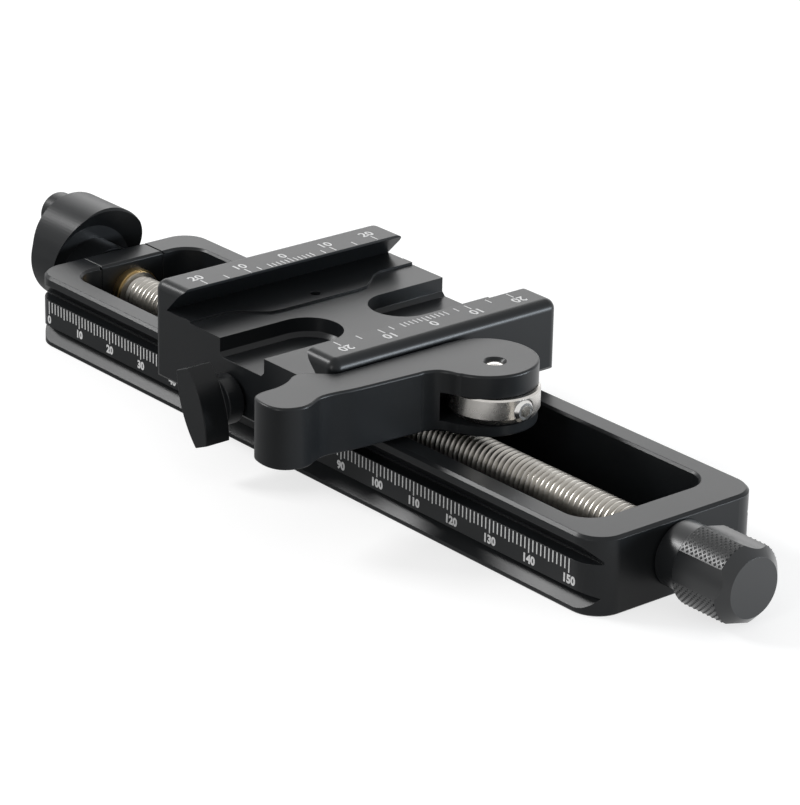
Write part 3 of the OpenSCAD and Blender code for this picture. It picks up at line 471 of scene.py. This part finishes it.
# The lever's pin: a bar whose top is a shallow dome, height = dome * cos(share of the radius * 90 degrees).
def domedPin():
    s = pin
    radius = (pinHigh[0] - pinLow[0]) / 2
    centre = (pinLow[:2] + pinHigh[:2]) / 2
    shoulder = pinHigh[2] - s["dome"]
    share = np.linspace(1, 0, s["rings"])
    profile = [(pinLow[2], 0), (pinLow[2], radius - s["chamfer"]), (pinLow[2] + s["chamfer"], radius)]
    profile += [(shoulder + s["dome"] * math.cos(math.pi / 2 * t), radius * t) for t in share]
    thing = newObject("lever_pin_domed", *turned(profile, s["steps"], "z", centre), pinSteel)
    return settle(join([thing], s["smooth"]), "lever", "stainless_steel", "lever_pin")


dressed("lever_arm", "lever", "black_anodised", black, leverRounding, clamp=False)
dressed("cam_barrel", "carriage", "stainless_steel", barrelSteel, evenly(0.14))
dressed("barrel_set_screw", "carriage", "screw_steel", socketSteel, evenly(0.2))
domedPin()
print("lever dressed")


dressed("lock_knob", "lock", "black_anodised", black, evenly(0.3))
print("lock knob dressed")


railScale = {"length": 150, "fromEnd": 5.25, "top": 9.31, "short": 7.2, "five": 6.95, "ten": 6.72,
             "width": 0.26, "numbers": 5.5, "size": 2.1, "thick": 0.02, "bold": 0.045}


# Flat bars as thin boxes, from each start to each end, of one width, thick along the surface's normal.
def bars(starts, ends, width, normal, thick):
    starts, ends, normal = np.asarray(starts, float), np.asarray(ends, float), np.asarray(normal, float)
    along = ends - starts
    along /= np.linalg.norm(along, axis=1)[:, None]
    side = np.cross(normal, along) * width / 2
    base = [starts - side, starts + side, ends + side, ends - side]
    verts = np.stack(base + [p + normal * thick for p in base], 1).reshape(-1, 3)
    box = np.array([[0, 1, 2, 3], [7, 6, 5, 4], [0, 4, 5, 1], [1, 5, 6, 2], [2, 6, 7, 3], [3, 7, 4, 0]])
    return verts * mm, (np.arange(len(starts))[:, None, None] * 8 + box).reshape(-1, 4)


# Plain numbers as thin solid text: each label has its words, its right and up directions, and its middle.
def numbers(labels, s):
    work = bmesh.new()
    for words, right, up, middle in labels:
        curve = bpy.data.curves.new("number", "FONT")
        curve.body = words
        curve.size = s["size"]
        curve.align_x = "CENTER"
        curve.align_y = "CENTER"
        curve.offset = s["bold"] * s["size"]
        curve.extrude = s["thick"]
        curve.resolution_u = 3
        holder = bpy.data.objects.new("number", curve)
        bpy.context.scene.collection.objects.link(holder)
        bpy.context.view_layer.update()
        mesh = bpy.data.meshes.new_from_object(holder)
        right, up = Vector(right), Vector(up)
        turn = Matrix((right, up, right.cross(up))).transposed().to_4x4()
        mesh.transform(Matrix.Translation(Vector(middle)) @ turn)
        work.from_mesh(mesh)
        bpy.data.objects.remove(holder)
        bpy.data.meshes.remove(mesh)
    bmesh.ops.scale(work, vec=(mm, mm, mm), verts=work.verts)
    mesh = bpy.data.meshes.new("numbers")
    work.to_mesh(mesh)
    work.free()
    thing = bpy.data.objects.new("numbers", mesh)
    bpy.context.scene.collection.objects.link(thing)
    return thing


def printRail():   # a tick at each millimetre and a number at each ten, on the -Y side
    s = railScale
    face = railLow[1]
    count = np.arange(s["length"] + 1)
    x = railLow[0] + s["fromEnd"] + count
    low = np.where(count % 10 == 0, s["ten"], np.where(count % 5 == 0, s["five"], s["short"]))
    starts = np.stack([x, np.full(len(x), face), low], -1)
    ends = np.stack([x, np.full(len(x), face), np.full(len(x), s["top"])], -1)
    ticks = newObject("rail_scale", *bars(starts, ends, s["width"], (0, -1, 0), s["thick"]), ink)
    labels = [(str(n), (1, 0, 0), (0, 0, 1), (x[n], face, s["numbers"])) for n in count[::10]]
    settle(join([ticks, numbers(labels, s)]), "rail")


def printJaw(name, body, lip, out, top):   # out is -1 where the ticks run from the lip towards -X, else 1
    s = jawScale
    starts, ends = [], []
    for place in s["places"]:
        kind = "long" if place % 10 == 0 else "middle" if place % 5 == 0 else "short"
        starts.append((lip + out * s["edge"], place, top))
        ends.append((lip + out * (s["edge"] + s[kind]), place, top))
    ticks = newObject(name, *bars(starts, ends, s["width"], (0, 0, 1), s["thick"]), ink)
    labels = [(str(abs(n)), (0, -out, 0), (out, 0, 0), (lip + out * (s["edge"] + s["numbers"]), n, top))
              for n in s["places"] if n % 10 == 0]
    settle(join([ticks, numbers(labels, s)]), body)


printRail()
printJaw("fixed_jaw_scale", "carriage", carriageLow[0] + jawScale["fixedLip"], -1, carriageHigh[2])
printJaw("moving_jaw_scale", "jaw", jawHigh[0] - jawScale["movingLip"], 1, jawHigh[2])
print("scales printed")


# What isn't here is black, also the nodes that a finished copy replaces, which aren't shown.
finishes = {
    "thrust_washers": steel, "peg_axle": steel, "draw_rod": steel, "jaw_guide_pins": steel,
    "lock_stud": steel,
    "rear_bush": brass, "front_bush": brass, "drive_nut": brass, "lock_pad": brass,
    "bearing_block_screws": screwSteel, "nut_screws": screwSteel, "fine_knob_set_screw": screwSteel,
    "crank_set_screw": screwSteel, "jaw_springs": springSteel,
}
for node, thing in nodes.items():
    thing.data.materials.clear()
    thing.data.materials.append(finishes.get(node, black))
print("CAD nodes finished")


studio = {
    "floor": 3.0, "level": 0.42, "rough": 0.9,   # the paper's width in metres, its grey and its roughness
    "glow": 0.7,                                 # how much of its white glows by itself
    "across": (0.77, 0.64, 0),                   # the way from the dark side to the bright one
    # painted reflection: across this span the paper's glow, as mirrored in the object, rises from dark to
    # bright
    "paintedMirrorSpan": (-0.03, 0.1),                       # where the mirrored glow starts and stops rising, in metres
    "dark": 0.1, "bright": 1.4,                  # shares of the glow in what is mirrored; bright * glow < 1
    "ambient": 0.45,                             # the world's strength for the light that falls on things
    "lamps": [   # places and sizes in metres, powers in watts
        # behind on the left: the tops' sheen
        {"at": (-0.78, 0.66, 0.46), "size": (1.1, 0.5), "power": 2.8, "colour": (1, 1, 1)},
        # left: the thin lines on the edges
        {"at": (-0.66, -0.42, 0.60), "size": (0.3, 0.2), "power": 5.0, "colour": (1, 1, 1)},
        # low on the right: the ends' gradient
        {"at": (0.80, 0.64, 0.10), "size": (0.6, 0.16), "power": 10.0, "colour": (0.84, 0.92, 1)},
        # in front: the barrel
        {"at": (0.24, -0.90, 0.30), "size": (0.2, 0.4), "power": 1.6, "colour": (1, 1, 1)},
    ],
}


def rays(start):   # 1 for camera rays, and 1 for glossy or transmission rays
    camera, glossy, through = (start.node("ShaderNodeLightPath", out=name)
                               for name in ("Is Camera Ray", "Is Glossy Ray", "Is Transmission Ray"))
    return camera, glossy.maths("MAXIMUM", glossy, through)


# Glow of the paper = glow * (camera + mirrored * (dark + (bright - dark) * share)), where the share runs
# from 0 on the left to 1 on the right of the object: a painted reflection, so that the object mirrors a dim
# floor on its left and a bright one on its right.
def paperGlow(start):
    s = studio
    camera, mirrored = rays(start)
    place = start.node("ShaderNodeTexCoord", out="Object")
    along = start.node("ShaderNodeVectorMath", {"operation": "DOT_PRODUCT"}, {0: place, 1: s["across"]},
                       out=1)
    # painted reflection: the mirrored glow is dim on the object's left and bright on its right, which
    # darkens and lightens its sides
    paintedMirrorShare = along.between(*s["paintedMirrorSpan"]) * (s["bright"] - s["dark"]) + s["dark"]
    return (camera + mirrored * paintedMirrorShare) * s["glow"]


def makeStudio():
    s = studio
    half = s["floor"] / 2
    paper = bpy.data.materials.new("floorPaper")
    paper.use_nodes = True
    plane = newObject("floor", [(-half, -half, 0), (half, -half, 0), (half, half, 0), (-half, half, 0)],
                      [(0, 1, 2, 3)], paper)
    shader = paper.node_tree.nodes["Principled BSDF"]
    shader.inputs["Base Color"].default_value = grey(s["level"])
    shader.inputs["Roughness"].default_value = s["rough"]
    shader.inputs["Specular IOR Level"].default_value = 0.0
    glow = paperGlow(Wire(paper.node_tree))
    glow = glow.node("ShaderNodeCombineColor", {}, {0: glow, 1: glow, 2: glow})
    glow.into(shader.inputs["Emission Color"])
    shader.inputs["Emission Strength"].default_value = 1.0
    sky = bpy.data.worlds.new("studio")
    bpy.context.scene.world = sky
    sky.use_nodes = True
    background = sky.node_tree.nodes["Background"]
    background.inputs["Color"].default_value = (1, 1, 1, 1)
    camera, mirrored = rays(Wire(sky.node_tree))
    ((camera + mirrored) * (1 - s["ambient"]) + s["ambient"]).into(background.inputs["Strength"])
    for i, lamp in enumerate(s["lamps"]):
        light = bpy.data.lights.new("softbox%d" % i, "AREA")
        light.shape = "RECTANGLE"
        light.size, light.size_y = lamp["size"]
        light.energy = lamp["power"]
        light.color = lamp["colour"]
        holder = bpy.data.objects.new("softbox%d" % i, light)
        holder.location = lamp["at"]
        holder.rotation_euler = (-Vector(lamp["at"])).to_track_quat("-Z", "Y").to_euler()
        bpy.context.scene.collection.objects.link(holder)


view = {"azimuth": 49.85666, "elevation": 22.14321, "roll": 1.21285, "eye": (485.53, -403.02, 265.11),
        "focalPixels": 3739.116, "framePixels": 805, "sensor": 36.0, "nearest": 0.01}


# The photograph's camera: back = (sin a cos e, -cos a cos e, sin e) and right = (cos a, sin a, 0), both
# turned by the roll about back.
def makeCamera():
    s = view
    a, e, r = (math.radians(s[k]) for k in ("azimuth", "elevation", "roll"))
    back = Vector((math.sin(a) * math.cos(e), -math.cos(a) * math.cos(e), math.sin(e)))
    right = Vector((math.cos(a), math.sin(a), 0))
    up = back.cross(right)
    right, up = math.cos(r) * right + math.sin(r) * up, math.cos(r) * up - math.sin(r) * right
    lens = bpy.data.cameras.new("photograph")
    lens.sensor_fit = "VERTICAL"
    lens.sensor_height = s["sensor"]
    lens.lens = s["focalPixels"] * s["sensor"] / s["framePixels"]
    lens.clip_start = s["nearest"]
    holder = bpy.data.objects.new("photograph", lens)
    turn = Matrix((right, up, back)).transposed().to_4x4()
    holder.matrix_world = Matrix.Translation(Vector(s["eye"]) * mm) @ turn
    bpy.context.scene.collection.objects.link(holder)
    bpy.context.scene.camera = holder


makeStudio()
makeCamera()
bpy.context.scene.view_settings.view_transform = "Standard"
print("studio set")
